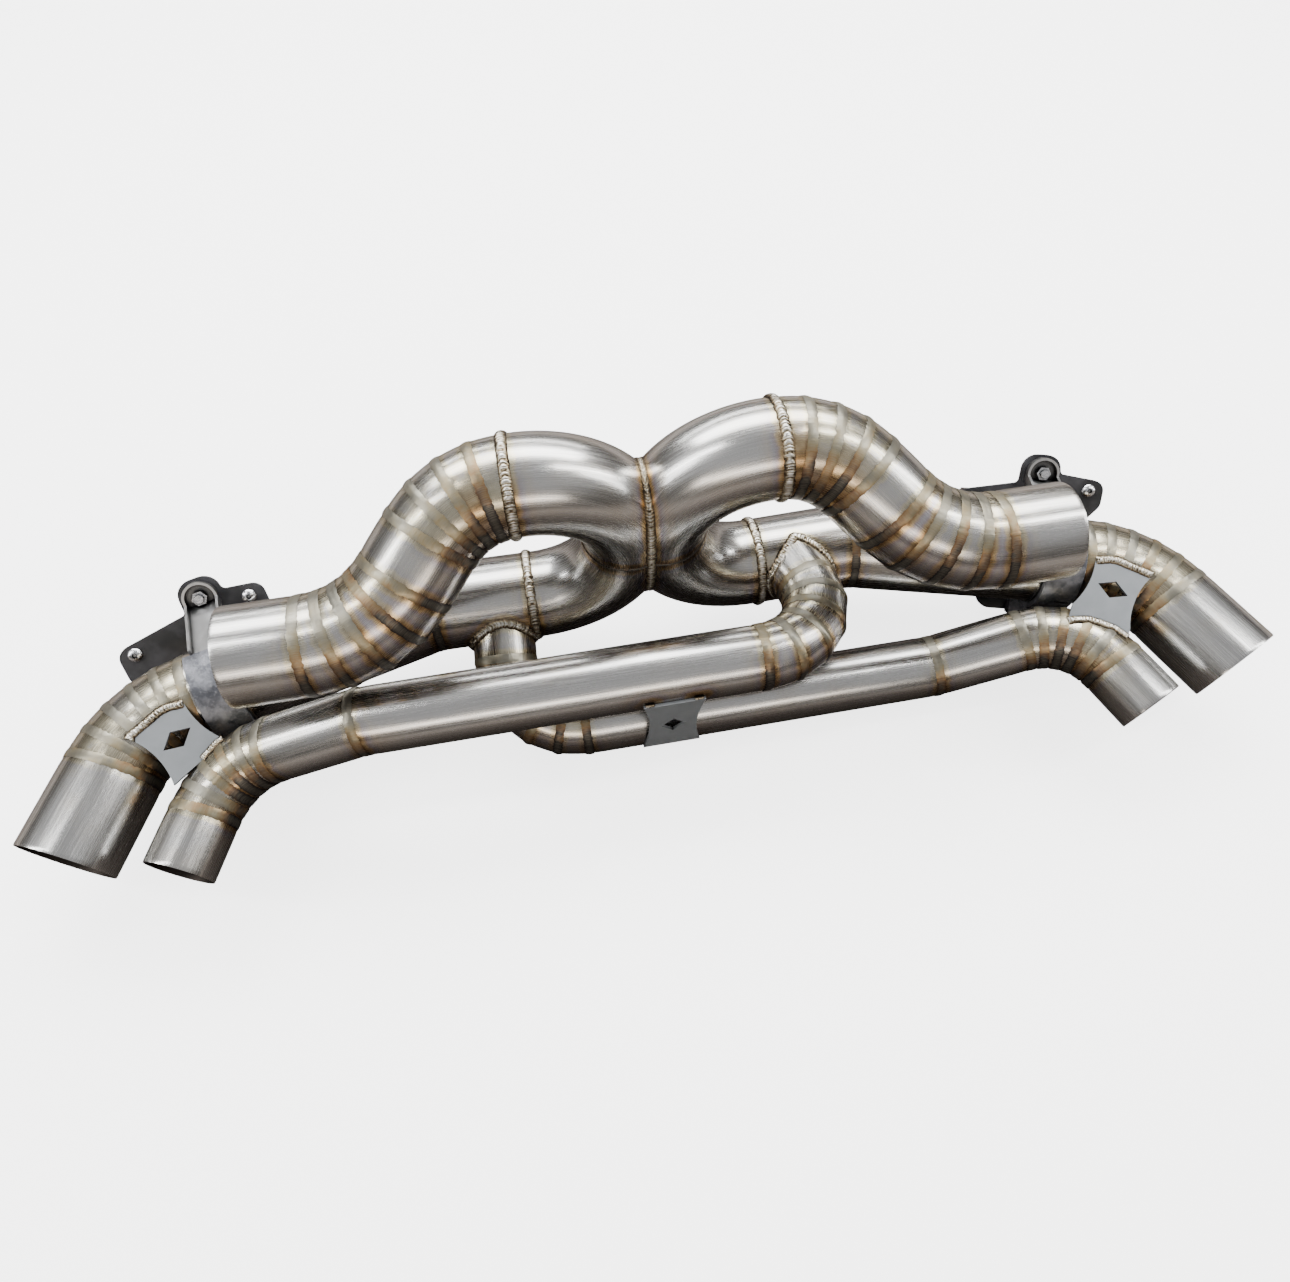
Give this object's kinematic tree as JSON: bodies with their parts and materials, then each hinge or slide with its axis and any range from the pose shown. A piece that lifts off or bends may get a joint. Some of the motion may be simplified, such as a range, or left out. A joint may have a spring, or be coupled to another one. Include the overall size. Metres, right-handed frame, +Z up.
{
  "type": "racing exhaust system",
  "caption": "Titanium crossover exhaust with an X junction, pie-cut S-bends, two large and two small rear tips and clamped hanger plates.",
  "frame": {"origin": "centre of the box around the whole system, on the car's centre plane", "axes": "+X is the car's right, +Y is the front of the car, +Z is up; the tips point back and the inlets point out to both sides"},
  "size_m": [1.2066, 0.3122, 0.3225],
  "materials": {
    "titanium": "satin brushed titanium with heat-tinted welds",
    "blasted_titanium": "fine bead-blasted titanium",
    "cast_clamp": "rough investment casting",
    "pressed_steel": "satin pressed stainless steel",
    "liner_steel": "bright stainless strip",
    "black_plate": "satin black coating",
    "zinc": "bright zinc plate"
  },
  "bodies": {
    "root": {"upper_elbow_left": "titanium", "upper_elbow_right": "titanium", "lower_elbow_left": "titanium", "lower_elbow_right": "titanium", "s_bend_left": "titanium", "s_bend_right": "titanium", "inlet_pipe_left": "titanium", "inlet_pipe_right": "titanium", "rear_pipe_left": "titanium", "rear_pipe_right": "titanium", "hanger_pipe_left": "titanium", "hanger_pipe_right": "titanium", "outer_bend_left": "titanium", "outer_bend_right": "titanium", "outer_tip_left": "titanium", "outer_tip_right": "titanium", "branch_stub_left": "titanium", "branch_stub_right": "titanium", "branch_elbow_left": "titanium", "branch_elbow_right": "titanium", "crossover_tube_upper": "titanium", "crossover_tube_lower": "titanium", "crossover_end_left": "titanium", "crossover_end_right": "titanium", "inner_bend_left": "titanium", "inner_bend_right": "titanium", "inner_tip_left": "titanium", "inner_tip_right": "titanium", "tip_gusset_left": "blasted_titanium", "tip_gusset_right": "blasted_titanium", "centre_gusset": "blasted_titanium", "hanger_plate_left": "black_plate", "hanger_plate_right": "black_plate", "clamp_saddle_left": "cast_clamp", "clamp_saddle_right": "cast_clamp", "clamp_arm_left": "pressed_steel", "clamp_arm_right": "pressed_steel", "clamp_liner_left": "liner_steel", "clamp_liner_right": "liner_steel", "clamp_bolts_left": "zinc", "clamp_bolts_right": "zinc", "clamp_nuts_left": "zinc", "clamp_nuts_right": "zinc", "chassis_bolts_left": "zinc", "chassis_bolts_right": "zinc", "coupling_nuts_left": "zinc", "coupling_nuts_right": "zinc"}
  },
  "joints": []
}
